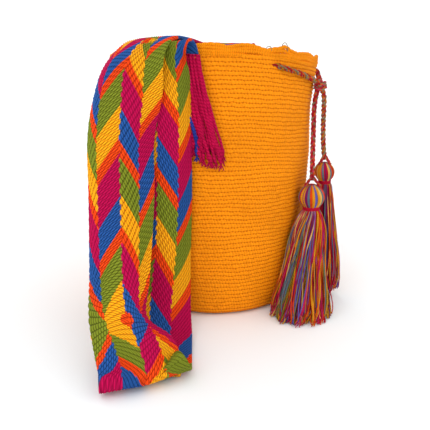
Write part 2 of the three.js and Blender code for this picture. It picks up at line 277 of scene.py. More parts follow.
def rings_along(paths, radii, sides, start=(0.31, 0.94, 0.13)):
    """Rings round many paths at once: paths is (n, points, 3), and radii (n, points, sides) or less."""
    normal, other = carried_frame(paths, start)
    angle = angles(sides)
    around = np.cos(angle)[:, None] * normal[:, :, None] + np.sin(angle)[:, None] * other[:, :, None]
    radii = np.broadcast_to(radii, paths.shape[:2] + (sides,))
    return paths[:, :, None] + radii[..., None] * around


# How far the texture moves along from one yarn to the next, so that no two look alike.
YARN_SHIFT = 7.3


def add_yarns(shape, paths, radii, sides, looks, ply=2.0):
    """Plain yarns along many paths. The texture runs along each one in steps of "ply" millimetres."""
    rings = rings_along(paths, radii, sides)
    for k, ring in enumerate(rings):
        run = run_along(paths[k]) / ply

        def place(row, column, run=run):
            return run[row] + YARN_SHIFT * k, column / sides

        shape.tube(ring, place, int(looks[k]))


# A strand's radius and its rise where it crosses over, as shares of the plait's width. Then its two yarns:
# their distance from its middle and their radius, as shares of the strand's radius, the length in which
# they turn once round each other, and the length of their own twist.
STRAND_RADIUS, STRAND_RISE = 0.235, 0.17
YARN_REACH, YARN_RADIUS = 0.42, 0.66
YARN_LAY, YARN_TWIST = 5.2, 1.7


def add_plait(shape, path, width, pitch, looks, start=(0, 1, 0), sides=7):
    """A three-strand plait, "width" across, along a path. A strand is two yarns, each with its own look."""
    run = np.linspace(0, length_of(path), len(path))
    normal, other = (part[0] for part in carried_frame(path[None], start))
    thick = width * STRAND_RADIUS
    yarns, colours = [], []
    for k in range(3):
        phase = run / pitch * TURN + k * TURN / 3
        beside = (width / 2 - thick) * np.sin(phase)
        above = width * STRAND_RISE * np.sin(2 * phase)
        centre = path + normal * beside[:, None] + other * above[:, None]
        for half in range(2):
            spin = run / YARN_LAY * TURN + (half + k / 3) * TURN / 2
            round_it = normal * np.cos(spin)[:, None] + other * np.sin(spin)[:, None]
            yarns.append(centre + YARN_REACH * thick * round_it)
            colours.append(looks[k][half])
    add_yarns(shape, np.array(yarns), thick * YARN_RADIUS, sides, colours, YARN_TWIST)


# ---------------------------------------------------------------- materials


def linear(red, green, blue):
    """A colour given as it shows on screen, from 0 to 255, as the shader wants it."""
    shares = (red / 255, green / 255, blue / 255)
    return tuple(((c + 0.055) / 1.055) ** 2.4 if c > 0.0405 else c / 12.92 for c in shares)


class Look:
    """A material under construction: its nodes, and the texture places that the piece carries."""

    def __init__(self, name):
        self.material = bpy.data.materials.new(name)
        self.material.use_nodes = True
        self.nodes = self.material.node_tree.nodes
        self.links = self.material.node_tree.links
        self.shader = self.nodes["Principled BSDF"]
        uv = self.nodes.new("ShaderNodeUVMap")
        uv.uv_map = "thread"
        split = self.nodes.new("ShaderNodeSeparateXYZ")
        self.links.new(uv.outputs[0], split.inputs[0])
        self.u, self.v = split.outputs[0], split.outputs[1]

    def feed(self, socket, value):
        if isinstance(value, bpy.types.NodeSocket):
            self.links.new(value, socket)
        else:
            socket.default_value = value

    def maths(self, operation, *values):
        node = self.nodes.new("ShaderNodeMath")
        node.operation = operation
        for socket, value in zip(node.inputs, values):
            self.feed(socket, value)
        return node.outputs[0]

    def add(self, a, b):
        return self.maths("ADD", a, b)

    def multiply(self, a, b):
        return self.maths("MULTIPLY", a, b)

    def fraction(self, value):
        return self.maths("FRACT", value)

    def from_half(self, value):
        """How far a value lies from one half."""
        return self.maths("ABSOLUTE", self.maths("SUBTRACT", value, 0.5))

    def spread(self, value, low, high, to_low=0.0, to_high=1.0):
        """A value from low to high, eased into the span from to_low to to_high."""
        node = self.nodes.new("ShaderNodeMapRange")
        node.interpolation_type = "SMOOTHSTEP"
        for socket, number in zip(node.inputs, (value, low, high, to_low, to_high)):
            self.feed(socket, number)
        return node.outputs[0]

    def noise(self, scale, detail=3.0):
        """Noise over the object's own place, "scale" features to the metre."""
        place = self.nodes.new("ShaderNodeTexCoord")
        node = self.nodes.new("ShaderNodeTexNoise")
        node.inputs["Scale"].default_value = scale
        node.inputs["Detail"].default_value = detail
        self.links.new(place.outputs["Object"], node.inputs["Vector"])
        return node.outputs["Fac"]

    def mix(self, factor, a, b):
        node = self.nodes.new("ShaderNodeMix")
        node.data_type = "RGBA"
        colours = [socket for socket in node.inputs if socket.type == "RGBA"]
        self.feed(node.inputs[0], factor)
        for socket, value in zip(colours, (a, b)):
            self.feed(socket, value if isinstance(value, bpy.types.NodeSocket) else (*value, 1))
        return next(socket for socket in node.outputs if socket.type == "RGBA")

    def mottled(self, colour, scale, detail, edge, low, high):
        """A colour times "low" to "high" in patches. Noise from edge to 1 - edge spans the change."""
        patches = self.spread(self.noise(scale, detail), edge, 1 - edge)
        return self.mix(patches, times(colour, low), times(colour, high))

    def finish(self, colour, height, depth, rough_low=0.72, rough_high=0.95):
        """Colour, bump of "depth" metres, and roughness that rises in the hollows."""
        bump = self.nodes.new("ShaderNodeBump")
        bump.inputs["Strength"].default_value = 0.8
        bump.inputs["Distance"].default_value = depth
        self.links.new(height, bump.inputs["Height"])
        self.links.new(bump.outputs[0], self.shader.inputs["Normal"])
        self.links.new(colour, self.shader.inputs["Base Color"])
        rough = self.spread(height, 0.0, 1.0, rough_high, rough_low)
        self.links.new(rough, self.shader.inputs["Roughness"])
        self.shader.inputs["Specular IOR Level"].default_value = 0.1
        return self.material


def times(colour, k):
    return tuple(min(1.0, c * k) for c in colour)


def crochet_look(name, colour, painted_shade):
    """Rounds of single crochet, with painted shade in the valleys between rounds and in the holes between
    stitches. u counts stitches and v counts rounds.
    """
    look = Look(name)
    drift = look.multiply(look.maths("SUBTRACT", look.noise(150.0, 2.0), 0.5), 0.7)
    round_at = look.add(look.v, drift)
    row = look.fraction(round_at)
    level = look.maths("FLOOR", round_at)
    lean = look.multiply(look.maths("SUBTRACT", row, 0.5), 0.4)
    place = look.add(look.add(look.u, look.multiply(level, 0.37)), lean)
    side = look.from_half(look.fraction(look.add(place, drift)))
    middle = look.from_half(row)
    ridge = look.spread(middle, 0.5, 0.2)
    stitch = look.spread(side, 0.5, 0.2)
    ply = look.maths("SINE", look.multiply(look.add(look.multiply(row, 1.2), side), 17.0))
    crown = look.add(look.multiply(ridge, 0.68), look.multiply(stitch, 0.32))
    height = look.add(crown, look.multiply(ply, 0.06))
    # Painted shade: the holes between stitches are darkened, more in some patches than in others.
    hole = look.multiply(look.spread(middle, 0.3, 0.5), look.spread(side, 0.26, 0.5))
    painted_hole_shade = look.multiply(hole, look.spread(look.noise(260.0), 0.35, 0.65, 0.05, 0.42))
    tone = look.mottled(colour, 14.0, 3.0, 0.35, 0.9, 1.08)
    fine = look.mottled(colour, 420.0, 2.0, 0.3, 0.8, 1.22)
    # Painted shade: the valleys between rounds are darkened towards the shade colour.
    shaded = look.mix(look.spread(height, 0.0, 0.78), painted_shade, look.mix(0.5, tone, fine))
    return look.finish(look.mix(painted_hole_shade, shaded, times(painted_shade, 0.5)), height, 0.0009)


def cord_look(name, colour, painted_hollow_shade=0.3):
    """A close weave of cords, with painted shade in the gaps and a painted highlight on the crowns of the
    lumps. v counts cords and u counts the lumps along each of them.
    """
    look = Look(name)
    cord = look.fraction(look.v)
    along = look.fraction(look.u)
    ridge = look.spread(look.from_half(cord), 0.5, 0.3)
    lump = look.spread(look.from_half(along), 0.5, 0.26)
    ply = look.maths("SINE", look.multiply(look.add(cord, look.multiply(along, 3.0)), TURN))
    cord_height = look.add(look.multiply(ridge, 0.6), 0.4)
    lump_height = look.add(look.multiply(lump, 0.75), 0.25)
    height = look.add(look.multiply(cord_height, lump_height), look.multiply(ply, 0.05))
    tone = look.mottled(colour, 25.0, 3.0, 0.3, 0.86, 1.1)
    fine = look.mottled(colour, 900.0, 2.0, 0.3, 0.8, 1.12)
    # Painted highlight: the crowns of the lumps are lightened towards 1.6 times the colour.
    shine = look.spread(height, 0.65, 1.0, 0.0, 0.7)
    crown = look.mix(shine, look.mix(0.5, tone, fine), times(colour, 1.6))
    # Painted shade: the gaps between cords and lumps are darkened to a share of the colour.
    shaded = look.mix(look.spread(height, 0.05, 0.8), times(colour, painted_hollow_shade), crown)
    return look.finish(shaded, height, 0.0006)


def yarn_look(name, colour, change=0.2):
    """Twisted yarn, with painted shade in the grooves of its twist. u runs along it, a twist to the unit,
    and v once round it.
    """
    look = Look(name)
    twist = look.maths("SINE", look.multiply(look.add(look.u, look.multiply(look.v, 2.0)), TURN))
    fuzz = look.add(look.multiply(look.noise(1500.0, 2.0), 0.3), 0.35)
    height = look.add(look.multiply(twist, 0.4), fuzz)
    tone = look.mottled(colour, 60.0, 3.0, 0.3, 1 - change, 1 + change)
    # Painted shade: the grooves of the twist are darkened to 0.55 of the colour.
    shaded = look.mix(look.spread(height, 0.0, 0.55), times(colour, 0.55), tone)
    return look.finish(shaded, height, 0.0003)


ORANGE = linear(243, 141, 8)
# The painted shade of the orange crochet, in its valleys and holes.
ORANGE_PAINTED_SHADE = linear(196, 92, 2)
MAGENTA = linear(166, 4, 66)
BLUE = linear(32, 76, 140)
OLIVE = linear(110, 120, 30)
YELLOW = linear(246, 150, 16)
FLAME = linear(222, 62, 12)

bag_look = crochet_look("bag_crochet", ORANGE, ORANGE_PAINTED_SHADE)
# The wall's inner face: the same crochet, made darker as painted shade.
inside_shaded_look = crochet_look("bag_crochet_inside", times(ORANGE, 0.92), times(ORANGE_PAINTED_SHADE, 0.85))
edging_look = yarn_look("bag_edging", ORANGE, 0.08)
# The strap's colours. The third number for magenta gives it less painted shade in its gaps.
strap_looks = [
    cord_look("strap_yellow", YELLOW),
    cord_look("strap_flame", FLAME),
    cord_look("strap_magenta", MAGENTA, 0.72),
    cord_look("strap_blue", BLUE),
    cord_look("strap_olive", OLIVE),
]
fringe_looks = [
    yarn_look("fringe_magenta", linear(184, 6, 66), 0.12),
    yarn_look("fringe_blue", linear(38, 52, 138)),
]
tassel_colours = {
    "crimson": (178, 14, 46), "flame": (214, 70, 20), "gold": (216, 146, 28), "violet": (98, 90, 168),
    "purple": (124, 26, 88), "teal": (92, 112, 124), "olive": (128, 112, 38), "straw": (222, 176, 92),
    "rose": (196, 34, 84), "grey": (150, 148, 150),
}
tassel_looks = [yarn_look(f"tassel_{name}", linear(*c), 0.18) for name, c in tassel_colours.items()]
# How often each of the tassels' colours is drawn.
TASSEL_SHARES = [0.2, 0.19, 0.2, 0.08, 0.08, 0.07, 0.06, 0.05, 0.05, 0.02]
braid_looks = [
    yarn_look("cord_crimson", linear(170, 24, 36), 0.15),
    yarn_look("cord_orange", linear(206, 84, 26), 0.15),
    yarn_look("cord_grey", linear(134, 122, 92), 0.2),
    yarn_look("cord_pink", linear(190, 60, 84), 0.15),
    yarn_look("cord_mustard", linear(176, 118, 30), 0.15),
]
thread_look = yarn_look("sewing_thread", linear(206, 122, 24), 0.1)
stray_look = yarn_look("stray_thread", linear(148, 128, 96), 0.1)

# ---------------------------------------------------------------- drawstring


# Degrees from an eyelet to where the cord lies on the wall again, and about how many to a step along it.
EYELET_TURN = 6
WALL_STEP = 14
PLAIT_WIDTH = 2 * CORD_RADIUS


def eyelet_height(azimuth):
    return float(rim_height(azimuth)) - CORD_BELOW_RIM


def threaded_route():
    """The stretch that the wall holds: out of and into it at each eyelet in turn."""
    points = []
    outside, inside = 4, -8.2
    for k, degrees in enumerate(EYELETS):
        before, after = (inside, outside) if k % 2 else (outside, inside)
        for turn, offset in ((EYELET_TURN, before), (0, -2), (-EYELET_TURN, after)):
            if (k == 0 and turn > 0) or (k == len(EYELETS) - 1 and turn < 0):
                continue
            azimuth = math.radians(degrees + turn)
            points.append(bag_point(azimuth, eyelet_height(azimuth), offset))
        if k < len(EYELETS) - 1:
            gap = EYELETS[k] - EYELETS[k + 1] - 2 * EYELET_TURN
            steps = max(1, round(gap / WALL_STEP))
            for j in range(1, steps):
                azimuth = math.radians(degrees - EYELET_TURN - gap * j / steps)
                points.append(bag_point(azimuth, eyelet_height(azimuth), after))
    return smooth_path(points, 1.2)


def side_point(degrees, height, offset):
    return bag_point(math.radians(degrees), height, offset)


def tail_route(start, bends):
    """A tail's way from inside its eyelet, at "start" degrees, through its bends."""
    height = eyelet_height(math.radians(start))
    return smooth_path([side_point(start, height, -2.0), *bends], 0.9)


tail_to_rear = tail_route(33, [
    side_point(39, 254.5, 4), side_point(50, 249, 4), side_point(60, 243, 4.2), side_point(70, 236.5, 7),
    [114.6, -27.5, 224], [115.4, -27.8, 208], [115.4, -28, 192], [116.2, -29, 172], [118, -29.6, 155.3],
])
tail_to_front = tail_route(106, [
    side_point(99, 245, 4), side_point(90, 239.5, 4.5), side_point(80, 235.5, 6), [106.2, -31.5, 224],
    [104.4, -33.5, 209], [104.2, -35.5, 194], [103.8, -40, 165], [103.2, -47, 143], [103, -49.4, 137.3],
])

held = Shape()
add_plait(held, threaded_route(), PLAIT_WIDTH, 16, [(0, 0), (1, 2), (0, 1)], start=(0, 0, 1))
held.make("drawstring_round", braid_looks, "cord_braid", "drawstring")
for name, path, looks, start in (
    ("drawstring_tail_rear", tail_to_rear, [(0, 4), (2, 0), (1, 2)], (1, 1, 0)),
    ("drawstring_tail_front", tail_to_front, [(0, 0), (3, 1), (0, 2)], (0, 0, -1)),
):
    tail = Shape()
    add_plait(tail, path, PLAIT_WIDTH, 15, looks, start=start)
    tail_piece = tail.make(name, braid_looks, "cord_braid", "drawstring")


KNOT_TURNS = 1.9
KNOT_HALF_WIDTH, KNOT_HALF_DEPTH = 4.8, 4.4
KNOT_HEIGHT, KNOT_SLANT = 7, 1.8


def knot_path():
    """Turns of cord, drawn tight round the place where the two tails cross."""
    t = np.linspace(0, 1, 90)
    angle = TURN * KNOT_TURNS * t + 0.6
    rise = (t - 0.5) * KNOT_HEIGHT + KNOT_SLANT * np.sin(angle)
    return KNOT + np.stack([KNOT_HALF_WIDTH * np.cos(angle), KNOT_HALF_DEPTH * np.sin(angle), rise], -1)


knot = Shape()
add_plait(knot, knot_path(), 5.4, 14, [(0, 3), (3, 2), (1, 2)], start=(0, 0, 1))
knot.make("drawstring_knot", braid_looks, "cord_braid", "drawstring")

# ---------------------------------------------------------------- bag

STITCHES = 200
ROUNDS = 64
STITCH_SAMPLES = 3
ROUND_SAMPLES = 2
BASE_COLUMNS = 240
BASE_ROUNDS = 20
BASE_ROUND_SAMPLES = 3
BASE_HALF_WIDTH, BASE_HALF_DEPTH = 84, 82
EYELET_PULL, EYELET_REACH = 1.6, 14


def uneven(azimuth, height):
    """The wall's soft dents, in millimetres, the same at each run."""
    wave = np.sin(3 * azimuth + 0.021 * height + 0.4) + 0.8 * np.sin(7 * azimuth - 0.033 * height + 1.1)
    return 0.55 * wave + 0.3 * np.sin(13 * azimuth + 0.05 * height + 2.0)


def stitch_relief(stitch, level):
    """How far the yarn stands out at a place, from -0.9 in a gap to 0.35 on a crown."""
    row = level % 1.0
    across = (stitch + 0.5 * np.floor(level) + 0.4 * (row - 0.5)) % 1.0
    ridge = np.sin(math.pi * row) ** 0.6
    bump = np.abs(np.sin(math.pi * across)) ** 0.7
    return -0.9 + 0.65 * ridge + 0.25 * bump + 0.35 * ridge * bump


def eyelet_dent(azimuth, height):
    """The wall pulled in around each eyelet."""
    dent = 0.0
    for degrees in EYELETS:
        centre = math.radians(degrees)
        away = (azimuth - centre + math.pi) % TURN - math.pi
        reach = (away * WALL_RADIUS) ** 2 + (height - eyelet_height(centre)) ** 2
        dent = dent - EYELET_PULL * np.exp(-reach / EYELET_REACH)
    return dent


def wall_height(azimuth, level):
    """The height of a round, which wanders a little between the base and the rim."""
    top = rim_height(azimuth) - EDGING_DEPTH + 2
    wobble = 0.8 * np.sin(4 * azimuth + level * 0.31) + 0.5 * np.sin(9 * azimuth - level * 0.47 + 1)
    return top * level / ROUNDS + wobble * np.sin(math.pi * level / ROUNDS)


def make_wall():
    """The wall as one closed ring: up the outside, round by round, and down the inside."""
    columns = STITCHES * STITCH_SAMPLES
    azimuth = angles(columns)[None, :]
    stitch = np.arange(columns)[None, :] / STITCH_SAMPLES
    out_level = np.linspace(0, ROUNDS, ROUNDS * ROUND_SAMPLES + 1)[:, None]
    in_level = np.linspace(ROUNDS, 0, ROUNDS // 2 + 1)[:, None]
    height = wall_height(azimuth, out_level)
    offset = stitch_relief(stitch, out_level) + uneven(azimuth, height) + eyelet_dent(azimuth, height)
    outside = bag_point(azimuth, np.maximum(height, 0.3), offset)
    height = wall_height(azimuth, in_level)
    thick = WALL + 3 * np.clip(1 - height / 10, 0, 1)
    lining = uneven(azimuth, height) - thick + 0.35 * np.cos(math.pi * in_level)
    inside = bag_point(azimuth, np.maximum(height, 4.2), lining)
    rings = np.concatenate([outside, inside])
    levels = np.concatenate([out_level[:, 0], in_level[:, 0]])
    look = np.zeros((len(rings) - 1, columns), int)
    look[len(outside):] = 1
    shape = Shape()
    shape.grid(rings, True, lambda row, column: (column / STITCH_SAMPLES, levels[row]), look.ravel())
    last = (len(rings) - 1) * columns
    for k in range(columns):
        shape.cap([last + k, last + (k + 1) % columns, (k + 1) % columns, k], 1)
    return shape.make("bag_wall", [bag_look, inside_shaded_look], "bag_crochet", "bag_body")


make_wall()


def make_base():
    """The round base, crocheted outwards from its middle: an upper and a lower face."""
    columns = BASE_COLUMNS
    levels = np.linspace(0, BASE_ROUNDS, BASE_ROUNDS * BASE_ROUND_SAMPLES + 1)[1:, None]
    azimuth = angles(columns)[None, :]
    reach = levels / BASE_ROUNDS
    relief = np.sin(math.pi * (levels % 1.0)) * (0.7 + 0.3 * np.abs(np.sin(azimuth * 60)))
    x = BASE_HALF_WIDTH * reach * np.sin(azimuth)
    y = -BASE_HALF_DEPTH * reach * np.cos(azimuth)
    lower = np.stack([x, y, 0.9 - 0.7 * relief + 2.2 * reach**12], -1)
    upper = np.stack([x, y, 3.6 + 0.8 * relief + 0 * x], -1)
    shape = Shape()
    rings = np.concatenate([lower, upper[::-1]])
    tall = np.concatenate([levels[:, 0], levels[::-1, 0]])

    def place(row, column):
        return column / columns * STITCHES, tall[row]

    shape.grid(rings, True, place, 0)
    shape.cap(np.arange(columns)[::-1])
    shape.cap((len(rings) - 1) * columns + np.arange(columns))
    return shape.make("bag_base", [bag_look], "bag_crochet", "bag_body")


make_base()

# ---------------------------------------------------------------- edging

LIFT_AZIMUTH = math.radians(39.5)


def rim_lift(azimuth):
    """The one place where the outer rope stands clear of the next and leaves a small slot."""
    away = np.clip((azimuth - LIFT_AZIMUTH) / math.radians(4.6), -1, 1)
    return 2.3 * np.cos(away * math.pi / 2) ** 2


def rim_rope(drop, share, offset, lifted, steps=640):
    """The path of one rope of the edging, "drop" below the rim. It follows a share of the scallops."""
    azimuth = np.linspace(0, TURN, steps, endpoint=False)
    height = rim_height(azimuth) - drop + share * scallop(azimuth) + lifted * rim_lift(azimuth)
    height = height + 0.35 * np.sin(9 * azimuth + drop) + 0.25 * np.sin(23 * azimuth + 2 * drop)
    return bag_point(azimuth, height, offset)


def add_loop_rope(shape, path, radius, half_turns, sides=12):
    """A closed ring of two yarns, twisted round each other by a number of half turns."""
    rows = len(path)
    tangent = unit(np.roll(path, -1, axis=0) - np.roll(path, 1, axis=0))
    up = np.broadcast_to(np.array([0, 0, 1.0]), tangent.shape)
    other = unit(np.cross(tangent, up))
    up = np.cross(other, tangent)
    angle = angles(sides)[None, :]
    run = np.arange(rows)[:, None] / rows
    wave = np.abs(np.cos((angle * 2 - run * half_turns * TURN) / 2)) ** 1.2
    reach = (radius * (0.76 + 0.28 * wave))[..., None]
    around = np.cos(angle)[..., None] * other[:, None] + np.sin(angle)[..., None] * up[:, None]
    rings = path[:, None] + reach * around
    length = length_of(path)

    def place(row, column):
        return row / rows * length / 1.6, column / sides

    start = shape.count
    shape.grid(rings, True, place, 0)
    last = start + (rows - 1) * sides
    shape.faces += [
        [last + k, last + (k + 1) % sides, start + (k + 1) % sides, start + k] for k in range(sides)
    ]
    shape.maps.append(np.zeros((4 * sides, 2)))
    shape.looks.append(np.zeros(sides, int))


edging = Shape()
for drop, share, offset, lifted, radius, half_turns in (
    (8.2, 0.0, -1.4, 0.0, 2.2, 130),
    (5.4, 0.35, -1.0, 0.0, 2.2, 120),
    (2.9, 0.75, -1.3, 0.25, 2.1, 125),
    (0.6, 1.0, -1.2, 1.0, 1.9, 116),
):
    add_loop_rope(edging, rim_rope(drop, share, offset, lifted), radius, half_turns)
edging.make("bag_edging", [edging_look], "bag_crochet", "bag_body")

# ---------------------------------------------------------------- strap

# The weave is mirrored about WEAVE_MIDDLE along the band. Across the band its cords rise and fall over four
# legs, so a place across runs from 0 to 4 and the valleys of the chevrons lie at 1 and 3.
WEAVE_MIDDLE = 472
# Where the weave's own measure, from its mirrored middle, lies along the draped and rumpled band.
WEAVE_RUN = np.array([0, 300, 408, 473, 960])
WEAVE_MEASURE = np.array([-472, -172, -90, 1, 488])
WEAVE_RISE = 32
WEAVE_PERIOD = 160
PERIOD_CORDS = 33
CORD_STEP = WEAVE_PERIOD / PERIOD_CORDS
LEG_START = np.array([27, 2, 18, 11])
LEG_COLUMNS = 20
LEG_LUMPS = 7
CORD_ROWS = 3
TILT_STEPS = 32
# The patch of flame yarn where the mirrored halves meet, and the gathered end in blue.
BLOB_RUN, BLOB_HALF_LENGTH = 474, 6.5
BLOB_ACROSS, BLOB_HALF_WIDTH = 1.92, 0.3
GATHERED = 14
# The order of the weave's bands: the number of a look in strap_looks and how many cords it takes.
BAND_CORDS = [(0, 6), (1, 3), (2, 8), (3, 6), (1, 3), (4, 7)]
BAND_OF_CORD = np.concatenate([[colour] * cords for colour, cords in BAND_CORDS])

stations_fine = np.linspace(0, len(STRAP_STATIONS) - 1, 3000)
run_fine = run_along(row_at(STRAP_STATIONS, stations_fine)[:, :3])
STRAP_LENGTH = run_fine[-1]


def strap_point(run, across, side, lift):
    """A point on the band: "run" along its middle, across it from 0 to 4, on one face, lifted off it."""
    at = np.interp(run, run_fine, stations_fine)
    row = row_at(STRAP_STATIONS, at)
    last = len(STRAP_STATIONS) - 1
    ahead = row_at(STRAP_STATIONS, np.minimum(at + 0.05, last))[:, :3]
    behind = row_at(STRAP_STATIONS, np.maximum(at - 0.05, 0))[:, :3]
    along = unit(ahead - behind)
    yaw = np.radians(row[:, 3])
    width = np.stack([np.cos(yaw), np.sin(yaw), 0 * yaw], -1)
    width = unit(width - along * (width * along).sum(-1, keepdims=True))
    up = np.cross(along, width)
    tilts = row[:, [5, 5, 6, 7, 8, 8]]

    def tilt(place):
        spot = place + 0.5
        i = np.minimum(np.floor(spot).astype(int), 4)
        near = [np.clip(i + k, 0, 5)[:, None] for k in (-1, 0, 1, 2)]
        four = (np.take_along_axis(tilts, each, 1)[:, 0] for each in near)
        return np.radians(curve_between(*four, spot - i))

    steps = TILT_STEPS
    step = 4 / steps
    x, h = [np.zeros(len(at))], [np.zeros(len(at))]
    for k in range(steps):
        angle = tilt(np.full(len(at), (k + 0.5) * step))
        x.append(x[-1] + 2 * row[:, 4] / steps * np.cos(angle))
        h.append(h[-1] + 2 * row[:, 4] / steps * np.sin(angle))
    x, h = np.array(x), np.array(h)
    x -= x[steps // 2]
    h -= h[steps // 2]
    i = np.clip(np.floor(across / step).astype(int), 0, steps - 1)
    t = across / step - i
    each = np.arange(len(at))
    x = x[i, each] * (1 - t) + x[i + 1, each] * t
    h = h[i, each] * (1 - t) + h[i + 1, each] * t
    angle = tilt(across)
    normal = up * np.cos(angle)[:, None] - width * np.sin(angle)[:, None]
    reach = np.broadcast_to(side * (STRAP_HALF_THICKNESS + lift), x.shape)
    return row[:, :3] + width * x[:, None] + up * h[:, None] + normal * reach[:, None]


def valley_share(across):
    """How far a place across the band is from the nearest valley of the chevrons, from 0 to 1."""
    return np.where(across < 2, np.abs(across - 1), np.abs(across - 3))


def weave_rows():
    """Where each row of points lies along the band, and which is the last even one before the mirror."""
    step = CORD_STEP / CORD_ROWS
    half = WEAVE_RISE / 2
    before = WEAVE_MIDDLE - half - step * np.arange(int((WEAVE_MIDDLE - half) / step) + 1)[::-1]
    after = WEAVE_MIDDLE + half + step * np.arange(int((STRAP_LENGTH - WEAVE_MIDDLE - half) / step) + 1)
    mirror = np.linspace(before[-1], after[0], 21)[1:-1]
    return np.concatenate([before, mirror, after]), len(before) - 1


def make_strap():
    """The band as one closed tube: its face, one edge, its back and the other edge."""
    rows, zero_row = weave_rows()
    columns = 4 * LEG_COLUMNS + 1
    across = np.linspace(0, 4, columns)
    slant = np.clip((rows - WEAVE_MIDDLE) / 60, -1, 1)
    slant = slant * np.clip(rows / 40, 0, 1) * np.clip((STRAP_LENGTH - rows) / 40, 0, 1)
    run = rows[:, None] + slant[:, None] * (valley_share(across) - 0.5)[None, :] * WEAVE_RISE
    run = np.clip(run, 0, STRAP_LENGTH)
    cord_number = (np.arange(len(rows)) - zero_row) / CORD_ROWS
    lumps = valley_share(across) * LEG_LUMPS
    in_cord = (cord_number % 1.0)[:, None]
    odd = (np.floor(cord_number + 1e-6) % 2)[:, None]
    rising = (np.floor(np.minimum(across, 3.99)) % 2 == 1)[None, :]
    skew = 0.5 * odd + 0.2 * in_cord
    ridge = np.sin(math.pi * in_cord) ** 0.7
    lump = np.where(rising, 0.6, np.abs(np.sin(math.pi * (lumps[None, :] + skew))) ** 0.8)
    relief = -0.6 + ridge * (0.35 + 0.95 * lump)
    edge = np.minimum(across, 4 - across)[None, :]
    relief = relief - 0.9 * np.exp(-((edge / 0.05) ** 2))
    flat_run, flat_across = run.ravel(), np.broadcast_to(across, run.shape).ravel()
    face, back = (strap_point(flat_run, flat_across, side, relief.ravel()) for side in (1, -1))
    face, back = face.reshape(run.shape + (3,)), back.reshape(run.shape + (3,))
    rings = np.concatenate([face, back[:, ::-1]], axis=1)
    middles = (across[:-1] + across[1:]) / 2
    shown = np.concatenate([middles, [4.0], middles[::-1], [0.0]])
    number = np.arange(columns - 1)
    column_number = np.concatenate([number, [columns - 2], number[::-1], [0]])
    row_number = np.arange(len(rows) - 1)
    row_odd = (np.floor((row_number - zero_row) / CORD_ROWS + 1e-6) % 2).astype(int)
    leg = np.clip((column_number[None, :] + row_odd[:, None]) // LEG_COLUMNS, 0, 3)
    share = valley_share(shown)
    centre_rows = (rows[:-1] + rows[1:]) / 2
    centre_slant = (slant[:-1] + slant[1:]) / 2
    centre_run = centre_rows[:, None] + centre_slant[:, None] * (share - 0.5)[None, :] * WEAVE_RISE
    away = np.abs(np.interp(centre_run, WEAVE_RUN, WEAVE_MEASURE)) - WEAVE_RISE * share[None, :]
    cord = np.floor(LEG_START[leg] - away / CORD_STEP).astype(int) % PERIOD_CORDS
    look = BAND_OF_CORD[cord]
    blob_along = (centre_run - BLOB_RUN) / BLOB_HALF_LENGTH
    blob_across = (shown[None, :] - BLOB_ACROSS) / BLOB_HALF_WIDTH
    look = np.where(blob_along**2 + blob_across**2 < 1, 1, look)
    look = np.where(centre_run < GATHERED, 3, look)
    ring_lumps = np.concatenate([lumps, lumps[::-1], lumps[:1]])
    face_rising = (leg.ravel() % 2 == 1)[:, None]

    def place(row, column):
        cords = (row - zero_row) / CORD_ROWS
        whole = np.floor(cords.min(-1, keepdims=True) + 1e-6)
        skew = np.where(face_rising, 2 * cords, 0.5 * (whole % 2) + 0.2 * (cords - whole))
        return ring_lumps[column] + skew, cords

    shape = Shape()
    shape.grid(rings, True, place, look.ravel())
    width = 2 * columns
    for start in (0, (len(rows) - 1) * width):
        for k in range(columns - 1):
            corners = [start + k, start + k + 1, start + width - 2 - k, start + width - 1 - k]
            shape.cap(corners if start else corners[::-1], 2)
    strap = shape.make("shoulder_strap_weave", strap_looks, "strap_weave", "shoulder_strap")
    return strap


make_strap()

# ---------------------------------------------------------------- fringes


FRINGE_RADIUS = 1.45
FRINGE_SIDES = 8
# How far a cord lies off the wall at its top, and how much closer it comes in towards its end.
FRINGE_OFF_WALL, FRINGE_FALL_IN = 5.6, 2.6
# Each cord ends in a knot, 5 mm before its tip, and the tip frays.
KNOT_FROM_TIP, KNOT_SPREAD = 5, 1.9
FRAYS = 7


def fringe_path(top, end, lay, phase, behind):
    """One cord's swaying way. top is an x, a height and how much lower it starts, end an x and a height."""
    points = []
    for s in np.linspace(0, 1, 9):
        sway = 1.5 * s**0.6 * math.sin(6 * s + phase[0]) + 0.7 * s * math.sin(14 * s + phase[1])
        x = top[0] + (end[0] - top[0]) * (0.4 * s + 0.6 * s**1.5) + sway
        azimuth = math.asin(np.clip(x / WALL_RADIUS, -1, 1))
        azimuth = math.pi - azimuth if behind else azimuth
        off = lay - FRINGE_FALL_IN * s + 1.2 * math.sin(math.pi * s) + 0.5 * math.sin(9 * s + phase[1])
        points.append(bag_point(azimuth, top[1] + (end[1] - top[1]) * s - top[2] * (1 - s), off))
    return smooth_path(points, 1.0)


def add_fringe_cord(shape, path, look):
    """A cord of two yarns with a knot near its tip."""
    run = np.linspace(0, 1, len(path))
    length = length_of(path)
    swell = 1 + 0.7 * np.exp(-(((run - 1) * length + KNOT_FROM_TIP) / KNOT_SPREAD) ** 2)
    angle = angles(FRINGE_SIDES)[None, :]
    lobes = np.abs(np.cos((2 * angle - run[:, None] * length / 7.0 * TURN) / 2)) ** 1.2
    reach = FRINGE_RADIUS * swell[:, None] * (0.9 + 0.1 * lobes)
    rings = rings_along(path[None], reach[None], FRINGE_SIDES)[0]

    def place(row, column):
        return row / len(path) * length / 3.5, column / FRINGE_SIDES

    shape.tube(rings, place, look)


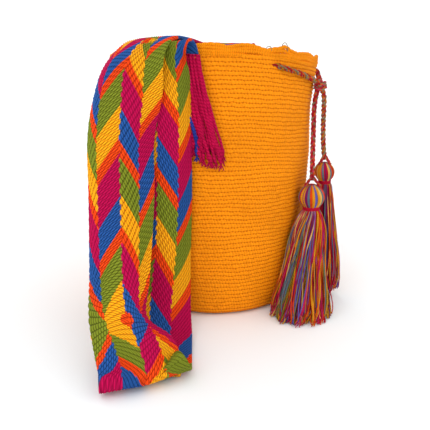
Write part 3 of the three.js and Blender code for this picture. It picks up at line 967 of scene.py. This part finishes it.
def make_fringe(name, node, behind, tops, ends, count, blues):
    """Knotted cords that hang from an end of the strap against the wall. tops is the first and last x, the
    height, and how much lower the last one starts. ends is the first and last x, and both outer heights."""
    shape = Shape()
    for k in range(count):
        t = k / (count - 1)
        top_x = tops[0] + (tops[1] - tops[0]) * t
        end_x = ends[0] + (ends[1] - ends[0]) * t**0.85 + rng.uniform(-2, 2)
        end_z = ends[2] + (ends[3] - ends[2]) * (0.35 * t + 0.65 * rng.random())
        layer = 3 if k in blues else (k * 2) % 3
        lay = FRINGE_OFF_WALL + 1.0 * layer + rng.uniform(0, 0.6)
        phase = rng.uniform(0, TURN, 2)
        path = fringe_path((top_x, tops[2], tops[3] * t), (end_x, end_z), lay, phase, behind)
        look = 1 if k in blues else 0
        add_fringe_cord(shape, path, look)
        tip = path[-1]
        frays = []
        for _ in range(FRAYS):
            away = np.array([rng.uniform(-3, 3), rng.uniform(-1, 0.6), -rng.uniform(3, 7)])
            frays.append([tip, tip + away * 0.5 + rng.uniform(-0.6, 0.6, 3), tip + away])
        add_yarns(shape, np.array(frays), 0.5, 5, [look] * FRAYS)
    return shape.make(name, fringe_looks, "fringe_yarn", node)


FRONT_TOPS, FRONT_ENDS = (-41, -12.5, 271.5, 2), (-29, 8, 188, 164)
BACK_TOPS, BACK_ENDS = (20, 46, 247, 0), (18, 48, 165, 142)
make_fringe(
    "strap_fringe_front_cords", "strap_fringe_front", False, FRONT_TOPS, FRONT_ENDS, 34, {3, 6, 9, 12}
)
make_fringe("strap_fringe_back_cords", "strap_fringe_back", True, BACK_TOPS, BACK_ENDS, 16, {3, 11})

for node in ("strap_seam_front", "strap_seam_back"):
    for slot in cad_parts[node].material_slots:
        slot.material = thread_look

# ---------------------------------------------------------------- tassels


HEAD_YARNS = 58
HEAD_STEPS = 22
HEAD_TWIST = 0.12
# The head is squashed towards its neck, and a core fills it to nine tenths of its width.
HEAD_SQUASH = 0.88
CORE_SHARE = 0.9
CORE_SIDES = 24
SKIRT_SWIRL = -0.55
SKIRT_STEPS = 18
BUNCH_YARNS = 4
WRAP_TURNS = 5
WRAP_HEIGHT = 3.4
WRAP_RADIUS = 0.62


def drawn_look():
    return rng.choice(len(tassel_looks), p=TASSEL_SHARES)


def head_points(table, at, angle, share):
    """Points round a tassel's head. The rows of the table and the angles broadcast to one grid."""
    rows = row_at(table, at)
    neck = table[TASSEL_NECK]
    x = rows[..., 0] + share * rows[..., 3] * np.cos(angle)
    y = rows[..., 1] + share * rows[..., 4] * np.sin(angle)
    z = neck[2] + (rows[..., 2] - neck[2]) * HEAD_SQUASH
    return np.stack(np.broadcast_arrays(x, y, z), -1)


def make_head(name, node, table):
    """Yarns wound from the top of the head to the neck, in narrow stripes, over a plain core."""
    head = Shape()
    at = np.linspace(0, TASSEL_NECK, HEAD_STEPS)[None, :]
    angle = (angles(HEAD_YARNS) + rng.uniform(-0.03, 0.03, HEAD_YARNS))[:, None]
    paths = head_points(table, at, angle + HEAD_TWIST * at / TASSEL_NECK, 1.0)
    stripes = []
    while len(stripes) < HEAD_YARNS:
        stripes += [drawn_look()] * int(rng.integers(1, 3))
    widest = table[: TASSEL_NECK + 1, 3].max()
    add_yarns(head, paths, TURN / 2 * widest / HEAD_YARNS * 1.18, 6, stripes[:HEAD_YARNS])
    core_at = np.linspace(0.1, TASSEL_NECK, 16)[:, None]
    core = head_points(table, core_at, angles(CORE_SIDES)[None, :], CORE_SHARE)
    head.tube(core, lambda row, column: (row / 3, column / CORE_SIDES), 4)
    head.make(f"{name}_head", tassel_looks, "tassel_yarn", node)


def make_skirt(name, node, table, bunches, wander, floor=0.8):
    """Bunches of loose yarns that hang from the neck. The yarns of a bunch wander together."""
    last = len(table) - 1
    turn = SKIRT_SWIRL * np.linspace(0, 1, SKIRT_STEPS)
    skirt = Shape()
    paths, looks, radii = [], [], []
    for _ in range(bunches):
        spot = TURN * rng.random()
        out = math.sqrt(rng.uniform(0.02, 1.0))
        look = drawn_look()
        phase = rng.uniform(0, TURN, 4)
        sway = rng.uniform(0.4, 1.0, 2) * wander
        speed = rng.uniform(4, 9, 2)
        for _ in range(BUNCH_YARNS):
            a = out * math.cos(spot) + rng.uniform(-0.08, 0.08)
            b = out * math.sin(spot) + rng.uniform(-0.08, 0.08)
            norm = max(1.0, math.hypot(a, b))
            a, b = a / norm, b / norm
            a, b = a * np.cos(turn) - b * np.sin(turn), a * np.sin(turn) + b * np.cos(turn)
            end = rng.uniform(0.95, 1.0) if rng.random() < 0.8 else rng.uniform(0.84, 0.96)
            s = np.linspace(0, end, SKIRT_STEPS)
            rows = row_at(table, TASSEL_NECK + s * (last - TASSEL_NECK))
            grow = np.sin(np.minimum(s * 2.6, math.pi / 2)) * s**0.5
            own = rng.uniform(0, TURN, 2)
            own_sway = rng.uniform(0.3, 1.0, 2) * wander * 0.42
            x_sway = sway[0] * np.sin(speed[0] * s + phase[0]) + own_sway[0] * np.sin(15 * s + own[0])
            y_sway = sway[1] * np.sin(speed[1] * s + phase[1]) + own_sway[1] * np.sin(12 * s + own[1])
            x = rows[:, 0] + rows[:, 3] * 0.95 * a + grow * x_sway
            y = rows[:, 1] + rows[:, 4] * 0.95 * b + grow * y_sway
            paths.append(np.stack([x, y, np.maximum(rows[:, 2], floor)], -1))
            looks.append(look if rng.random() < 0.55 else drawn_look())
            radii.append(rng.uniform(0.4, 0.62))
    add_yarns(skirt, np.array(paths), np.array(radii)[:, None, None], 5, looks)
    skirt.make(f"{name}_skirt", tassel_looks, "tassel_yarn", node)


def make_wrap(name, node, table):
    """Yarn wound round the neck."""
    neck = table[TASSEL_NECK]
    t = np.linspace(0, 1, 36 * WRAP_TURNS)
    spin = TURN * WRAP_TURNS * t
    x = neck[0] + (neck[3] + 0.5) * np.cos(spin)
    y = neck[1] + (neck[4] + 0.5) * np.sin(spin)
    wound = np.stack([x, y, neck[2] + (t - 0.5) * WRAP_HEIGHT], -1)
    wrap = Shape()
    add_yarns(wrap, wound[None], WRAP_RADIUS, 6, [0])
    wrap.make(f"{name}_wrap", [tassel_looks[0]], "binding_yarn", f"{name}_binding")


def make_tassel(name, node, table, bunches, wander):
    """A wound head, a skirt of loose yarns and a bound neck."""
    make_head(name, node, table)
    make_skirt(name, node, table, bunches, wander)
    make_wrap(name, node, table)


make_tassel("tassel_front", "tassel_front", TASSEL_FRONT, 205, 4.4)
make_tassel("tassel_rear", "tassel_rear", TASSEL_REAR, 110, 2.8)


def make_cord_ends():
    """Each tail parts into two short legs that are drawn through the top of its tassel."""
    shape = Shape()
    for table, spread in ((TASSEL_FRONT, 8.0), (TASSEL_REAR, 6.0)):
        x, y, z = table[0, :3]
        for side in (-1, 1):
            bend = [x + side * spread * 0.35, y - 1.5, z + 2.5]
            points = [[x, y, z + 6], bend, [x + side * spread, y - 4, z - 4]]
            add_plait(shape, smooth_path(points, 0.8), 3.6, 14, [(0, 0), (1, 2), (0, 3)])
    return shape.make("drawstring_ends", braid_looks, "cord_braid")


make_cord_ends()

# ---------------------------------------------------------------- stray threads


def make_strays():
    """Two small loops of thread that stand up from the rim."""
    shape = Shape()
    for degrees, width, tall in ((39.0, 3.0, 5.6), (29.0, 2.6, 2.6)):
        azimuth = math.radians(degrees)
        top = float(rim_height(azimuth) + scallop(azimuth))
        foot = bag_point(azimuth, top, -1.0)
        t = np.linspace(-0.15, 1.15, 18) * math.pi
        loop = foot + np.stack([width * np.cos(t), 0.8 * np.sin(2 * t), tall * np.sin(t)], -1)
        add_yarns(shape, loop[None], 0.42, 5, [0])
    return shape.make("rim_stray_threads", [stray_look], "sewing_thread")


make_strays()

# ---------------------------------------------------------------- stage


# The floor, in metres: its front, where its bend starts, the bend's radius, its top and its half width.
FLOOR_FRONT, BEND_START, BEND_RADIUS, FLOOR_TOP, FLOOR_SIDE = -6, 2.6, 1.6, 6, 8


def add_floor():
    """A pale floor that curves up into a wall far behind the bag."""
    profile = [(FLOOR_FRONT, 0), (-1, 0)]
    for t in np.linspace(0, math.pi / 2, 13):
        profile.append((BEND_START + BEND_RADIUS * math.sin(t), BEND_RADIUS - BEND_RADIUS * math.cos(t)))
    profile.append((BEND_START + BEND_RADIUS, FLOOR_TOP))
    points = [(x, y, z) for y, z in profile for x in (-FLOOR_SIDE, FLOOR_SIDE)]
    faces = [(2 * k, 2 * k + 1, 2 * k + 3, 2 * k + 2) for k in range(len(profile) - 1)]
    mesh = bpy.data.meshes.new("floor")
    mesh.from_pydata(points, [], faces)
    mesh.shade_smooth()
    floor = add_object("floor", mesh)
    material = bpy.data.materials.new("floor")
    material.use_nodes = True
    shader = material.node_tree.nodes["Principled BSDF"]
    shader.inputs["Base Color"].default_value = (0.93, 0.96, 0.97, 1)
    shader.inputs["Roughness"].default_value = 0.9
    mesh.materials.append(material)


def add_sun(name, place, size, power):
    """A soft, even light from the direction of a place. Its size is an angle in degrees."""
    data = bpy.data.lights.new(name, "SUN")
    data.angle = math.radians(size)
    data.energy = power
    lamp = add_object(name, data)
    x, y, z = place
    lamp.location = place
    lamp.rotation_euler = (math.atan2(math.hypot(x, y), z), 0, math.atan2(x, -y))


def add_studio():
    add_floor()
    add_sun("key", (-0.9, -2.0, 1.5), 50, 0.8)
    add_sun("fill", (1.6, -1.4, 0.9), 70, 0.43)
    world = bpy.data.worlds.new("world")
    world.use_nodes = True
    background = world.node_tree.nodes["Background"]
    background.inputs["Color"].default_value = (1, 1, 1, 1)
    background.inputs["Strength"].default_value = 0.97
    bpy.context.scene.world = world
    bpy.context.scene.view_settings.view_transform = "Standard"


add_studio()
